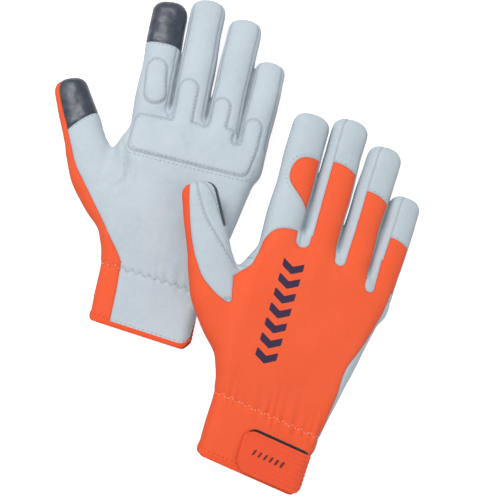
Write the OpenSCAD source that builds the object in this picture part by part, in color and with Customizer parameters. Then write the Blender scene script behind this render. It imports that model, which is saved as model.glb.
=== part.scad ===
// A pair of work gloves: the left one lies palm up, the right one lies back up with its
// thumb over the palm of the left one. One glove is drawn in its own frame and placed twice:
// X across the hand (towards the little finger), Y towards the fingertips, Z out of the back
// of the hand, with the origin in the middle of the wrist. The left glove is its mirror image.

/* [Glove] */
// Half thickness of the palm of the resting glove
palm_half = 11; // [10:0.5:12]
// Half thickness of the flattened cuff
cuff_half = 7; // [6:0.5:7.2]
// Thickness of the leather and of the stretch fabric
skin = 1.3; // [1:0.1:1.6]
// Length of the index finger from the knuckle line to its tip
index_length = 104; // [98:1:108]
// Length of the middle finger from the knuckle line to its tip
middle_length = 110; // [104:1:114]
// Length of the ring finger from the knuckle line to its tip
ring_length = 100; // [92:1:102]
// Length of the little finger from the knuckle line to its tip
little_length = 74; // [68:1:76]
// Length of the thumb from the middle of its root to its tip
thumb_length = 79; // [76:1:84]

/* [Cuff] */
// Length of the cuff from the wrist to the middle of the hem
cuff_length = 48; // [40:1:54]
// Width of the bound hem
binding_w = 4; // [3:0.5:6]
// Width of the closing strap along the glove
strap_w = 24; // [20:1:26]
// Height of the foam palm pad above the leather
pad_h = 1.8; // [1:0.1:2.2]

/* [Movement] */
// How far each finger bends towards the palm, degrees
finger_bend = 75; // [45:5:80]
// How far the thumb spreads away from the hand, degrees
thumb_spread = 22; // [10:1:24]
// How far the thumb closes towards the hand, degrees
thumb_close = 8; // [4:1:9]

/* [Placement] */
// Turn of the left glove on the surface, degrees
left_turn = 2.7; // [0:0.1:4]
// Turn of the right glove on the surface, degrees
right_turn = -4; // [-5:0.1:-2]
// Lean of the right glove, whose thumb side is lifted by the left glove, degrees
right_lean = 12; // [11:0.5:14]
// Middle of the left glove's wrist across the pair
left_x = -32.5; // [-35:0.1:-30]
// Middle of the left glove's wrist along the pair
left_y = -37.6; // [-41:0.1:-35]
// Middle of the right glove's wrist across the pair
right_x = 63.9; // [62:0.1:68]
// Middle of the right glove's wrist along the pair
right_y = -108.2; // [-111:0.1:-105]
// Height of the middle of the right glove's wrist
right_z = 22.5; // [22.4:0.1:25]

/* [Hidden] */

orange = [0.95, 0.37, 0.20];
grey = [0.78, 0.82, 0.85];
slate = [0.25, 0.28, 0.33];
hook_grey = [0.35, 0.36, 0.40];

big = 400;             // longer than the glove
gap = 0.3;             // running gap between pieces that move on each other
hem_slope = -0.13;     // the hem drops towards the little finger
arc_steps = 8;         // facets of each rounded edge of the palm
round_steps = 16;      // facets round a finger
side_half = 3.2;       // half height of the strip between a finger's back and front

// Stations of the palm tube: place along the hand, thumb-side edge, little-finger edge,
// half thickness
PALM = [
    [-60, -38, 31, cuff_half], [-30, -38.3, 32.5, cuff_half], [-8, -38.5, 36.5, cuff_half + 0.4],
    [0, -39.4, 39, cuff_half + 1], [20, -44, 44, palm_half - 1], [40, -47, 48, palm_half],
    [60, -47, 53, palm_half], [80, -46, 58, palm_half], [92, -41, 60.5, palm_half - 0.6],
    [98, -38.5, 60, palm_half - 1.2]
];

// A digit: [root x, root y, turn to the left, hinge distance, half height of the hinge
// line below the middle, stations]. A station: [distance from the root, half width,
// half thickness]
function finger_stations(length, w0, w1, t0, t1) = [
    [-8, w0, t0], [20, w0, t0], [length * 0.55, (w0 + w1) / 2, (t0 + t1) / 2],
    [length - 11, w1, t1], [length - 5.5, w1 * 0.93, t1 * 0.9],
    [length - 1.7, w1 * 0.73, t1 * 0.7], [length, w1 * 0.42, t1 * 0.42]
];
INDEX = [-26, 90, 1.7, 34, 5.4,
         finger_stations(index_length, 12.9, 12.8, 9.9, 8.8)];
MIDDLE = [0.2, 90, 0.7, 34, 5.4,
          finger_stations(middle_length, 12.6, 12.6, 9.9, 8.8)];
RING = [25.2, 90, -1.5, 31, 5.2,
        finger_stations(ring_length, 12, 12.2, 9.6, 8.5)];
LITTLE = [48.4, 87, -2.8, 25, 5,
          finger_stations(little_length, 10.9, 10.9, 9, 8)];
thumb_hinge = 24;      // the thumb's cut, from the middle of its root
thumb_pivot = -6;      // the pivot, from the thumb's middle towards its outer edge
THUMB = [-54.5, 52.6, 26.8, thumb_hinge, 0, [
    [-32, 7, 6.5], [-12, 13.8, 9.3], [8, 16.4, 10], [thumb_hinge, 15.6, 10], [32, 14.2, 9.6],
    [48, 13.4, 9.2], [thumb_length - 12, 12.4, 8.8], [thumb_length - 6, 11.2, 7.8],
    [thumb_length - 1.8, 8.2, 6], [thumb_length, 4.8, 3.8]
]];
FINGERS = [INDEX, MIDDLE, RING, LITTLE];

// ---- outlines and tubes ------------------------------------------------------

// Outline of the palm tube: two round edges joined by flats
function stadium(x0, x1, t) = concat(
    [for (i = [0:arc_steps]) let(a = 90 + 180 * i / arc_steps)
        [x0 + t + t * cos(a), t * sin(a)]],
    [for (i = [0:arc_steps]) let(a = -90 + 180 * i / arc_steps)
        [x1 - t + t * cos(a), t * sin(a)]]
);

// Outline of a digit: an ellipse
function oval(w, t) = [for (i = [0:round_steps - 1]) let(a = 360 * i / round_steps)
    [w * cos(a), t * sin(a)]];

// An outline set upright across the hand at y
function standing(outline, y) = [for (p = outline) [p[0], y, p[1]]];

// The solid between two outlines that stand across the hand
module between(a, b) {
    n = len(a);
    hull()
        polyhedron(points = concat(a, b),
                   faces = [[for (i = [0:n - 1]) i], [for (i = [0:n - 1]) n + i]]);
}

// One outline of the palm tube; the last one also moves back, to leave a wall between the
// fingers
function palm_ring(i, inset) = let(s = PALM[i], last = i == len(PALM) - 1)
    standing(stadium(s[1] + inset, s[2] - inset, s[3] - inset), last ? s[0] - inset : s[0]);

// The palm tube, with every surface moved in by inset
module palm_tube(inset) {
    for (i = [0:len(PALM) - 2])
        between(palm_ring(i, inset), palm_ring(i + 1, inset));
}

// Moves a solid drawn along a digit's own middle line to the digit's place
module at_digit(digit) {
    translate([digit[0], digit[1], 0])
        rotate([0, 0, digit[2]])
            children();
}

// One outline of a digit; no outline reaches past the digit's tip less the inset
function digit_ring(digit, i, inset) = let(s = digit[5][i], tip = digit[5][len(digit[5]) - 1][0])
    standing(oval(max(s[1] - inset, 0.4), max(s[2] - inset, 0.4)),
             min(s[0], tip - inset * (i + 4 - len(digit[5])) / 3));

// One digit, in its own frame, with every surface moved in by inset
module digit_tube(digit, inset) {
    for (i = [0:len(digit[5]) - 2])
        between(digit_ring(digit, i, inset), digit_ring(digit, i + 1, inset));
}

// The whole glove as one solid, moved in by inset
module glove_solid(inset) {
    palm_tube(inset);
    for (d = FINGERS)
        at_digit(d)
            digit_tube(d, inset);
    at_digit(THUMB)
        digit_tube(THUMB, inset);
}

// Everything in front of a finger's knuckle cut: the face leans back below the hinge line,
// so that the finger can bend. away is 1 on the finger's side and -1 on the hand's side
module beyond_knuckle(digit, away, half_width) {
    s = digit[3] + away * gap / 2;
    lean = tan(finger_bend / 2) * (big / 8) * away;
    z = -digit[4];
    rotate([90, 0, 90])
        linear_extrude(2 * half_width, center = true)
            polygon([[s, big / 4], [s, z], [s + lean, z - big / 8],
                     [big, z - big / 8 - 1], [big, big / 4]]);
}

// Everything beyond the thumb's cut, on the thumb's side of the gap: the cut leans away from
// the pivot on both sides, so that the thumb can swing
module beyond_thumb_cut() {
    s = thumb_hinge + gap / 2;
    inner = 30 * tan(thumb_close + 1);
    outer = 30 * tan(thumb_spread + 1);
    linear_extrude(big / 4, center = true)
        polygon([[thumb_pivot, s], [thumb_pivot + 30, s + inner], [thumb_pivot + 30, big / 2],
                 [thumb_pivot - 30, big / 2], [thumb_pivot - 30, s + outer]]);
}

// The walls of the hand: the glove without its moving digits, open at the hem
module hand_walls(outset, inset) {
    difference() {
        glove_solid(-outset);
        glove_solid(inset);
        for (d = FINGERS)
            at_digit(d)
                beyond_knuckle(d, -1, d[5][0][1] + 0.6);
        at_digit(THUMB)
            translate([-23.5, thumb_hinge - gap / 2, -big / 8])
                cube([41, big, big / 4]);
        before_hem(0);
    }
}

// Everything below the hem, or below a line parallel to it
module before_hem(distance) {
    y = -cuff_length + distance;
    linear_extrude(big / 4, center = true)
        polygon([[-big / 4, y - hem_slope * big / 4], [big / 4, y + hem_slope * big / 4],
                 [big / 4, -big], [-big / 4, -big]]);
}

// The walls of a finger beyond its knuckle cut, in the digit's own frame
module finger_walls(digit) {
    intersection() {
        difference() {
            digit_tube(digit, 0);
            digit_tube(digit, skin);
        }
        beyond_knuckle(digit, 1, 30);
    }
}

// The walls of the thumb beyond its cut
module thumb_walls() {
    intersection() {
        difference() {
            digit_tube(THUMB, 0);
            digit_tube(THUMB, skin);
        }
        beyond_thumb_cut();
    }
}

// A block between two heights and beyond a distance along a digit
module band(z0, z1, y0, y1) {
    translate([-big / 4, y0, z0])
        cube([big / 2, y1 - y0, z1 - z0]);
}

// ---- hand -------------------------------------------------------------------

web_y = 99.5;                // where the strips between the fingers begin

// The strips at the sides of the finger roots
module web_strips() {
    band(-side_half, side_half, web_y, big);
}

module palm_panel() {
    color(grey)
        difference() {
            hand_walls(0, skin);
            band(0, big / 8, -big, big);
            web_strips();
            before_hem(binding_w);
        }
}

module back_panel() {
    color(orange)
        difference() {
            hand_walls(0, skin);
            band(-big / 8, 0, -big, big);
            web_strips();
            before_hem(binding_w);
        }
}

module web_gussets() {
    color(grey)
        intersection() {
            hand_walls(0, skin);
            web_strips();
        }
}

// Foam pad quilted onto the palm below the fingers
module palm_pad() {
    color(grey)
        intersection() {
            difference() {
                palm_tube(-pad_h);
                palm_tube(0);
            }
            translate([0, 0, -big / 8])
                linear_extrude(big / 8)
                    offset(5)
                        polygon([[-31, 84], [-31, 90], [47, 90], [47, 78], [0, 80]]);
        }
}

// Elastic band sewn to the inside of the wrist
module wrist_elastic() {
    color(orange)
        difference() {
            palm_tube(skin);
            palm_tube(skin + 1);
            before_hem(cuff_length - 12);
            translate([0, -4, 0])
                rotate([0, 0, atan(hem_slope)])
                    band(-big / 8, big / 8, 0, big);
        }
}

// Fabric tape folded round the hem
module cuff_binding() {
    color(orange)
        intersection() {
            difference() {
                palm_tube(-0.8);
                palm_tube(skin + 0.8);
                before_hem(0);
            }
            before_hem(binding_w);
        }
}

// ---- strap ------------------------------------------------------------------

strap_free = -14;            // free end of the strap
strap_root = 23;             // sewn end, on the little-finger side
strap_top = -20;             // edge of the strap nearest the hand
loop_h = 0.9;                // height of the loop patch on the cuff
hook_h = 0.8;                // height of the hook patch under the strap
tab_h = 1.4;                 // thickness of the strap

// A tab with one round end, lying on the back of the cuff
module tab(x0, x1, width, height) {
    r = width / 2;
    linear_extrude(height)
        union() {
            translate([x0 + r, 0])
                circle(r, $fn = 40);
            translate([x0 + r, -r])
                square([x1 - x0 - r, width]);
        }
}

// Places something on the back of the cuff, turned along the hem
module on_cuff(height) {
    translate([0, strap_top - strap_w / 2, cuff_half + height])
        rotate([0, 0, atan(hem_slope)])
            children();
}

module loop_patch() {
    color(hook_grey)
        on_cuff(0.4)
            tab(strap_free + 3, strap_root - 1, strap_w - 6, loop_h - 0.4);
}

module hook_patch() {
    color(slate)
        on_cuff(loop_h + gap)
            tab(strap_free + 3, strap_root - 12, strap_w - 6, hook_h);
}

module strap_tab() {
    color(orange)
        on_cuff(loop_h + gap + hook_h)
            tab(strap_free, strap_root, strap_w, tab_h);
}

// ---- fingers ----------------------------------------------------------------

module finger_front(digit) {
    color(grey)
        at_digit(digit)
            difference() {
                finger_walls(digit);
                band(-side_half, big / 8, -big, big);
            }
}

module finger_sides(digit) {
    color(grey)
        at_digit(digit)
            intersection() {
                finger_walls(digit);
                band(-side_half, side_half, -big, big);
            }
}

module finger_back(digit, cap_y) {
    color(orange)
        at_digit(digit)
            intersection() {
                finger_walls(digit);
                band(side_half, big / 8, 0, cap_y);
            }
}

module finger_cap(digit, cap_y) {
    color(grey)
        at_digit(digit)
            intersection() {
                finger_walls(digit);
                band(side_half, big / 8, cap_y, big);
            }
}

touch_length = 30;           // length of the touch patches on index finger and thumb

module index_front() {
    color(grey)
        at_digit(INDEX)
            intersection() {
                finger_walls(INDEX);
                band(-big / 8, -side_half, 0, index_length - touch_length);
            }
}

module index_touch_patch() {
    color(slate)
        at_digit(INDEX)
            intersection() {
                finger_walls(INDEX);
                band(-big / 8, -side_half, index_length - touch_length, big);
            }
}

// Outline of the stretch inset in the back of the index finger: round towards the tip,
// pointed towards the hand
module inset_region() {
    translate([3, 0, side_half])
        linear_extrude(big / 8)
            hull() {
                translate([0, 62])
                    circle(9, $fn = 28);
                translate([5, 44])
                    circle(1.5, $fn = 16);
            }
}

module index_inset() {
    color(orange)
        at_digit(INDEX)
            intersection() {
                finger_walls(INDEX);
                inset_region();
            }
}

module index_back() {
    color(grey)
        at_digit(INDEX)
            difference() {
                finger_walls(INDEX);
                inset_region();
                band(-big / 8, side_half, -big, big);
            }
}

// ---- thumb ------------------------------------------------------------------

edge_x = -6.5;               // the outer strip of the thumb begins here

module thumb_edge_region() {
    translate([-big / 4 + edge_x, 0, -side_half])
        cube([big / 4, big, big / 8]);
}

module thumb_edge() {
    color(orange)
        at_digit(THUMB)
            intersection() {
                thumb_walls();
                thumb_edge_region();
            }
}

module thumb_back() {
    color(grey)
        at_digit(THUMB)
            difference() {
                thumb_walls();
                thumb_edge_region();
                band(-big / 8, 1, -big, big);
            }
}

module thumb_front() {
    color(grey)
        at_digit(THUMB)
            difference() {
                thumb_walls();
                thumb_edge_region();
                band(1, big / 8, -big, big);
                band(-big / 8, 1, thumb_length - touch_length, big);
            }
}

module thumb_touch_patch() {
    color(slate)
        at_digit(THUMB)
            difference() {
                intersection() {
                    thumb_walls();
                    band(-big / 8, 1, thumb_length - touch_length, big);
                }
                thumb_edge_region();
            }
}

// ---- the pair ---------------------------------------------------------------

middle_cap = 75;             // where the fingertip caps begin, from the knuckle line
ring_cap = 63;
little_cap = 41;

module left() {
    translate([left_x, left_y, palm_half])
        rotate([0, 0, left_turn])
            mirror([0, 0, 1])
                children();
}

module right() {
    translate([right_x, right_y, right_z])
        rotate([0, 0, right_turn])
            rotate([0, right_lean, 0])
                children();
}

left() palm_panel();  // left_palm_panel
left() back_panel();  // left_back_panel
left() palm_pad();  // left_palm_pad
left() web_gussets();  // left_web_gussets
left() wrist_elastic();  // left_wrist_elastic
left() cuff_binding();  // left_cuff_binding
left() loop_patch();  // left_loop_patch
left() strap_tab();  // left_strap_tab
left() hook_patch();  // left_hook_patch
left() index_front();  // left_index_front
left() index_back();  // left_index_back
left() index_inset();  // left_index_inset
left() finger_sides(INDEX);  // left_index_sides
left() index_touch_patch();  // left_index_touch_patch
left() finger_front(MIDDLE);  // left_middle_front
left() finger_back(MIDDLE, middle_cap);  // left_middle_back
left() finger_cap(MIDDLE, middle_cap);  // left_middle_cap
left() finger_sides(MIDDLE);  // left_middle_sides
left() finger_front(RING);  // left_ring_front
left() finger_back(RING, ring_cap);  // left_ring_back
left() finger_cap(RING, ring_cap);  // left_ring_cap
left() finger_sides(RING);  // left_ring_sides
left() finger_front(LITTLE);  // left_little_front
left() finger_back(LITTLE, little_cap);  // left_little_back
left() finger_cap(LITTLE, little_cap);  // left_little_cap
left() finger_sides(LITTLE);  // left_little_sides
left() thumb_front();  // left_thumb_front
left() thumb_back();  // left_thumb_back
left() thumb_edge();  // left_thumb_edge
left() thumb_touch_patch();  // left_thumb_touch_patch
right() palm_panel();  // right_palm_panel
right() back_panel();  // right_back_panel
right() palm_pad();  // right_palm_pad
right() web_gussets();  // right_web_gussets
right() wrist_elastic();  // right_wrist_elastic
right() cuff_binding();  // right_cuff_binding
right() loop_patch();  // right_loop_patch
right() strap_tab();  // right_strap_tab
right() hook_patch();  // right_hook_patch
right() index_front();  // right_index_front
right() index_back();  // right_index_back
right() index_inset();  // right_index_inset
right() finger_sides(INDEX);  // right_index_sides
right() index_touch_patch();  // right_index_touch_patch
right() finger_front(MIDDLE);  // right_middle_front
right() finger_back(MIDDLE, middle_cap);  // right_middle_back
right() finger_cap(MIDDLE, middle_cap);  // right_middle_cap
right() finger_sides(MIDDLE);  // right_middle_sides
right() finger_front(RING);  // right_ring_front
right() finger_back(RING, ring_cap);  // right_ring_back
right() finger_cap(RING, ring_cap);  // right_ring_cap
right() finger_sides(RING);  // right_ring_sides
right() finger_front(LITTLE);  // right_little_front
right() finger_back(LITTLE, little_cap);  // right_little_back
right() finger_cap(LITTLE, little_cap);  // right_little_cap
right() finger_sides(LITTLE);  // right_little_sides
right() thumb_front();  // right_thumb_front
right() thumb_back();  // right_thumb_back
right() thumb_edge();  // right_thumb_edge
right() thumb_touch_patch();  // right_thumb_touch_patch
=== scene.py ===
"""The soft surfaces of a pair of work gloves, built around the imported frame.

One glove is shaped in its own frame, in millimetres: u across the hand towards the little
finger, v towards the fingertips, w out of the back of the hand, origin in the middle of the
wrist. The right glove lies back up and the left one, its mirror image, palm up.
"""
import math

import bpy
import numpy as np
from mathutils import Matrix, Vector, kdtree


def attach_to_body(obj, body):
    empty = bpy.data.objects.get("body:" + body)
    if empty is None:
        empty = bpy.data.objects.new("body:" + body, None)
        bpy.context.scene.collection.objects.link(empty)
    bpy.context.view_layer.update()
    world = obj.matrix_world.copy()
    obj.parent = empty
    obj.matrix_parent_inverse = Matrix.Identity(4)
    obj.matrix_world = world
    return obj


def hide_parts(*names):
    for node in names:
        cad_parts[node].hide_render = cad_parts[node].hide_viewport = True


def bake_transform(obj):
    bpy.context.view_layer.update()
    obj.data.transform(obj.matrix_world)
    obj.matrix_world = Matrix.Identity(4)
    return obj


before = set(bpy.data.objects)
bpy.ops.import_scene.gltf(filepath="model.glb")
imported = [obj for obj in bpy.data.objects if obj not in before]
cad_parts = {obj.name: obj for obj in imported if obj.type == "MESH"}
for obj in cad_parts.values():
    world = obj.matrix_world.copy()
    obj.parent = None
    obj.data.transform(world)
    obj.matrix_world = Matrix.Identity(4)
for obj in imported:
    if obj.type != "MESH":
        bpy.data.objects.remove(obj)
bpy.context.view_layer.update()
MM = 0.001

# ---- measures of one glove, mm ----
CELL = 1.25            # size of the grid that the surface is taken from
SKIN = 1.1             # thickness of the leather and the fabric
CUFF_LENGTH = 48.0     # wrist to the middle of the hem
HEM_SLOPE = -0.13      # the hem drops towards the little finger
HEM_CORNERS = (3.0, 6.0)   # radii of the cuff's corners: thumb side, other side
# Palm: distance along the hand, thumb-side edge, little-finger edge, half thickness
PALM = np.array([
    (-66, -38, 30.5, 7.0), (-48, -38, 31, 7.0), (-30, -38.3, 32.5, 7.2), (-20, -38.4, 36.2, 7.3),
    (-8, -38.5, 37, 7.5), (0, -39.4, 38.6, 8.0), (20, -44, 43.8, 9.8), (40, -47, 48, 10.8),
    (60, -47.5, 52.3, 11), (80, -46, 56.6, 10.8), (92, -42, 58.6, 10.2), (104, -39, 58.8, 9.2)])
# Where the palm ends between and under the fingers: across the hand, along the hand
PALM_END = np.array([(-60, 92), (-39, 98), (-26, 110), (-13, 113.5), (0, 112), (13.3, 109.5),
                     (26, 105), (37.8, 100.5), (49, 93), (62, 86)])


def finger(root, turn, hinge, length, widths, depths, tip=11):
    """A finger: root, turn to the left in degrees, distance of its hinge from the root, length,
    half widths and half thicknesses at its two ends, length of its round tip."""
    (w0, w1), (t0, t1) = widths, depths
    table = [(-12, w0, t0), (20, w0, t0), (length * 0.55, (w0 + w1) / 2, (t0 + t1) / 2),
             (length - 11, w1, t1), (length, w1, t1 * 0.96)]
    return dict(root=root, turn=turn, hinge=hinge, length=length, tip=tip, back=-2,
                table=np.array(table))


DIGITS = {
    "index": finger((-26, 90), 1.7, 34, 104, (13.0, 12.95), (9.9, 8.8)),
    "middle": finger((0.2, 90), 0.7, 34, 110, (12.75, 12.75), (9.9, 8.8)),
    "ring": finger((25.2, 90), -1.5, 31, 100, (12.15, 12.35), (9.6, 8.5)),
    "little": finger((48.4, 87), -2.8, 25, 74, (11.0, 11.05), (9.0, 8.0), 10),
    "thumb": dict(root=(-54.5, 52.6), turn=26.8, length=79, tip=11, back=-22, table=np.array(
        [(-36, 6, 5.5), (-12, 13.8, 9.0), (8, 16.6, 10), (24, 15.8, 10), (32, 14.5, 9.6),
         (48, 13.6, 9.2), (67, 12.6, 8.8), (79, 12.0, 8.4)])),
}
FINGERS = ("index", "middle", "ring", "little")
THUMB_PIVOT = -6.0     # the thumb's pivot, from its middle towards its outer edge
BLEND_HALF = 11.0      # half length of the stretch where a finger bends
THUMB_BLEND = (25.0, 45.0)   # the thumb's own bending stretch, from its root
BACK_LENGTH = 15.0     # how far a digit fades out behind its root
SECTION, TIP = 2.25, 2.8     # how square a digit's section is, and its tip
FINGER_SOFT, THUMB_SOFT = 2.6, 7.0   # how softly the digits run into the hand


# ---- curves and distances ----
def curve(x, table, column=1):
    """A smooth curve through the table's points, without overshoot, held at both ends."""
    xs, ys = table[:, 0], table[:, column]
    h, d = np.diff(xs), np.diff(ys) / np.diff(xs)
    slope = np.zeros(len(xs))
    same = d[:-1] * d[1:] > 0
    with np.errstate(divide="ignore", invalid="ignore"):
        slope[1:-1] = np.where(same, 2 * d[:-1] * d[1:] / (d[:-1] + d[1:]), 0)
    slope[0], slope[-1] = d[0], d[-1]
    x = np.clip(x, xs[0], xs[-1])
    i = np.clip(np.searchsorted(xs, x) - 1, 0, len(xs) - 2)
    t = (x - xs[i]) / h[i]
    return ((2 * t ** 3 - 3 * t ** 2 + 1) * ys[i] + (t ** 3 - 2 * t ** 2 + t) * h[i] * slope[i]
            + (3 * t ** 2 - 2 * t ** 3) * ys[i + 1] + (t ** 3 - t ** 2) * h[i] * slope[i + 1])


def smooth_min(a, b, k):
    h = np.clip(0.5 + 0.5 * (b - a) / k, 0, 1)
    return b * (1 - h) + a * h - k * h * (1 - h)


def smooth_step(x, a, b):
    t = np.clip((x - a) / (b - a), 0, 1)
    return t * t * (3 - 2 * t)


def digit_turn(name):
    """Root, cosine and sine of a digit's turn."""
    turn = math.radians(DIGITS[name]["turn"])
    return (*DIGITS[name]["root"], math.cos(turn), math.sin(turn))


def in_digit(p, name):
    """Points in a digit's own frame: across, along, height."""
    x0, y0, c, s = digit_turn(name)
    x, y = p[..., 0] - x0, p[..., 1] - y0
    return c * x + s * y, -s * x + c * y, p[..., 2]


def digit_width(name, s):
    """Half width and half thickness of a digit at a distance from its root."""
    d = DIGITS[name]
    return curve(s, d["table"], 1), curve(s, d["table"], 2)


def digit_distance(p, name):
    d = DIGITS[name]
    n, s, w = in_digit(p, name)
    hw, ht = digit_width(name, s)
    tip = np.maximum(s - (d["length"] - d["tip"]), 0) / d["tip"]
    back = np.maximum(d["back"] - s, 0) / BACK_LENGTH
    flat = (np.abs(n / hw) ** SECTION + np.abs(w / ht) ** SECTION) ** (1 / SECTION)
    q = (flat ** TIP + tip ** TIP + back ** TIP) ** (1 / TIP)
    return (q - 1) * np.sqrt(hw * ht)


def palm_distance(p):
    u, v, w = p[..., 0], p[..., 1], p[..., 2]
    x0, x1, b = curve(v, PALM, 1), curve(v, PALM, 2), curve(v, PALM, 3)
    out = np.maximum(np.maximum(x0 + b - u, u - (x1 - b)), 0)
    side = np.sqrt(out ** 2 + w ** 2) - b
    end = (v - curve(u, PALM_END)) * 0.8
    return -smooth_min(-side, -end, 9.0)


def glove_distance(p):
    """About the distance from the glove's outer surface, less than 0 inside."""
    f = palm_distance(p)
    for name in FINGERS:
        f = smooth_min(f, digit_distance(p, name), FINGER_SOFT)
    return smooth_min(f, digit_distance(p, "thumb"), THUMB_SOFT)


def gradient(p, step=0.3):
    g = np.empty_like(p)
    for i in range(3):
        e = np.zeros(3)
        e[i] = step
        g[:, i] = (glove_distance(p + e) - glove_distance(p - e)) / (2 * step)
    return g


def unit(a):
    return a / np.maximum(np.linalg.norm(a, axis=-1, keepdims=True), 1e-9)


def onto_surface(p, rounds=4):
    for _ in range(rounds):
        g = gradient(p)
        p = p - (glove_distance(p) / np.maximum((g ** 2).sum(1), 0.05))[:, None] * g
    return p


# ---- surface ----
def glove_surface():
    """Even triangles over the glove's outer surface."""
    lo, hi = np.array([-102.0, -58.0, -14.0]), np.array([68.0, 204.0, 14.0])
    axes = [np.arange(lo[i], hi[i] + CELL, CELL) for i in range(3)]
    grid = np.stack(np.meshgrid(*axes, indexing="ij"), -1)
    f = glove_distance(grid)
    inside = f < 0
    n = np.array(f.shape)
    total = np.zeros(tuple(n - 1) + (3,))
    count = np.zeros(tuple(n - 1))

    def part(a, c):
        return a[c[0]:n[0] - 1 + c[0], c[1]:n[1] - 1 + c[1], c[2]:n[2] - 1 + c[2]]

    for a in np.ndindex(2, 2, 2):
        for b in np.ndindex(2, 2, 2):
            edge = np.subtract(b, a)
            if edge.min() == 0 and edge.sum() == 1:
                cross = part(inside, a) != part(inside, b)
                t = part(f, a) / np.where(cross, part(f, a) - part(f, b), 1)
                total += np.where(cross[..., None], a + t[..., None] * edge, 0)
                count += cross
    used = count > 0
    number = np.full(count.shape, -1)
    number[used] = np.arange(used.sum())
    where = np.argwhere(used)
    points = lo + (where + total[used] / count[used][:, None]) * CELL
    quads = []
    for axis in range(3):
        s0 = [slice(1, m - 1) for m in n]
        s1 = list(s0)
        s0[axis], s1[axis] = slice(0, n[axis] - 1), slice(1, n[axis])
        a, b = inside[tuple(s0)], inside[tuple(s1)]
        others = np.arange(3) != axis
        start = np.argwhere(a != b) + others
        flip = a[a != b] ^ (axis == 1)
        ring = []
        for shift in ((-1, -1), (0, -1), (0, 0), (-1, 0)):
            c = start.copy()
            c[:, others] += shift
            ring.append(number[tuple(c.T)])
        q = np.stack(ring, 1)
        q[~flip] = q[~flip][:, ::-1]
        quads.append(q)
    quads = np.concatenate(quads)
    points = onto_surface(points)
    for _ in range(3):
        points = onto_surface(relaxed(points, quads), 2)
    a, b, c, d = (points[quads[:, i]] for i in range(4))
    short = ((a - c) ** 2).sum(1) <= ((b - d) ** 2).sum(1)
    one = np.where(short[:, None], quads[:, [0, 1, 2]], quads[:, [0, 1, 3]])
    two = np.where(short[:, None], quads[:, [0, 2, 3]], quads[:, [1, 2, 3]])
    return points, np.concatenate([one, two])


def relaxed(points, quads):
    """Each point moved halfway to the mean of its neighbours."""
    total, count = np.zeros_like(points), np.zeros(len(points))
    for i in range(4):
        a, b = quads[:, i], quads[:, (i + 1) % 4]
        np.add.at(total, a, points[b])
        np.add.at(total, b, points[a])
        np.add.at(count, a, 1)
        np.add.at(count, b, 1)
    return 0.5 * points + 0.5 * total / np.maximum(count, 1)[:, None]


def edges_of(tris):
    return np.concatenate([tris[:, [0, 1]], tris[:, [1, 2]], tris[:, [2, 0]]])


def cut(points, tris, values, snap=0.12):
    """Splits the triangles along the line where the values are 0."""
    sign = np.where(np.abs(values) < snap, 0, np.sign(values)).astype(int)
    s = sign[tris]
    crossing = (s.min(1) < 0) & (s.max(1) > 0)
    keep, work = tris[~crossing], tris[crossing]
    if not len(work):
        return points, tris
    edges = edges_of(work)
    opposite = sign[edges[:, 0]] * sign[edges[:, 1]] < 0
    pairs, index = np.unique(np.sort(edges[opposite], 1), axis=0, return_inverse=True)
    va, vb = values[pairs[:, 0]], values[pairs[:, 1]]
    t = (va / (va - vb))[:, None]
    fresh = points[pairs[:, 0]] * (1 - t) + points[pairs[:, 1]] * t
    middle = np.full(len(edges), -1)
    middle[opposite] = len(points) + index.ravel()
    middle = middle.reshape(3, -1).T
    out = [keep]
    has = middle >= 0
    for turn in range(3):
        i, j, k = turn, (turn + 1) % 3, (turn + 2) % 3
        w = work[has[:, i] & has[:, j]]
        m = middle[has[:, i] & has[:, j]]
        out += [np.stack([m[:, i], w[:, j], m[:, j]], 1),
                np.stack([w[:, i], m[:, i], m[:, j]], 1),
                np.stack([w[:, i], m[:, j], w[:, k]], 1)]
        alone = has[:, i] & ~has[:, j] & ~has[:, k]
        w, m = work[alone], middle[alone]
        out += [np.stack([w[:, i], m[:, i], w[:, k]], 1),
                np.stack([m[:, i], w[:, j], w[:, k]], 1)]
    return np.concatenate([points, fresh]), np.concatenate(out)


# ---- panels ----
# Where a finger's back meets its sides, as shares of its half width: thumb side, other side
DORSAL_SEAM = {"index": (1.5, 0.90), "middle": (0.60, 0.90), "ring": (0.55, 0.90),
               "little": (0.52, 0.90)}
BACK_START = {"index": -4, "middle": 12, "ring": 12, "little": 12}   # from the finger's root
PALMAR_SEAM = 0.84     # where a finger's front meets its side
SIDE_START = {"index": 16.5, "middle": 15.5, "ring": 11.5, "little": 6.5}
CAPS = {"middle": 75.0, "ring": 63.5, "little": 41.5}   # where the fingertip caps begin
# Bottoms of the grey strips between the fingers, on the back of the hand
SLOTS = ((-13.0, 102.0, 4.7), (15.0, 98.6, 3.9), (39.4, 88.0, 3.7))
# Upper edge of the orange back towards the index finger: across, along
BACK_TOP = np.array([(-60, 140), (-57, 140), (-51, 70), (-46, 76), (-41.5, 81.5), (-39.5, 90),
                     (-38, 99), (-35.5, 105), (-31, 109), (-24, 111.2), (-17, 112), (80, 112)])
# Grey panel on the back of the thumb
THUMB_PANEL = np.array([(-98, 132), (-94.2, 112), (-90, 100.5), (-84.3, 87), (-78, 74.5),
                        (-69.8, 63), (-58, 55.4), (-46.5, 51.8), (-48.6, 62), (-49.8, 70),
                        (-51, 80), (-54, 95), (-66, 125)])
# Edge of the palm leather on the thumb side: the orange fabric wraps round up to here
PALM_LEATHER = np.array([(-23, -90), (-23, -3), (-27, 4), (-36, 16), (-51, 36), (-62.5, 51),
                         (-70, 61), (-76.3, 75), (-82.9, 89), (-89.3, 102), (-93.4, 112),
                         (-94.4, 121), (-92, 133), (-92, 260), (100, 260), (100, -90)])
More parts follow.
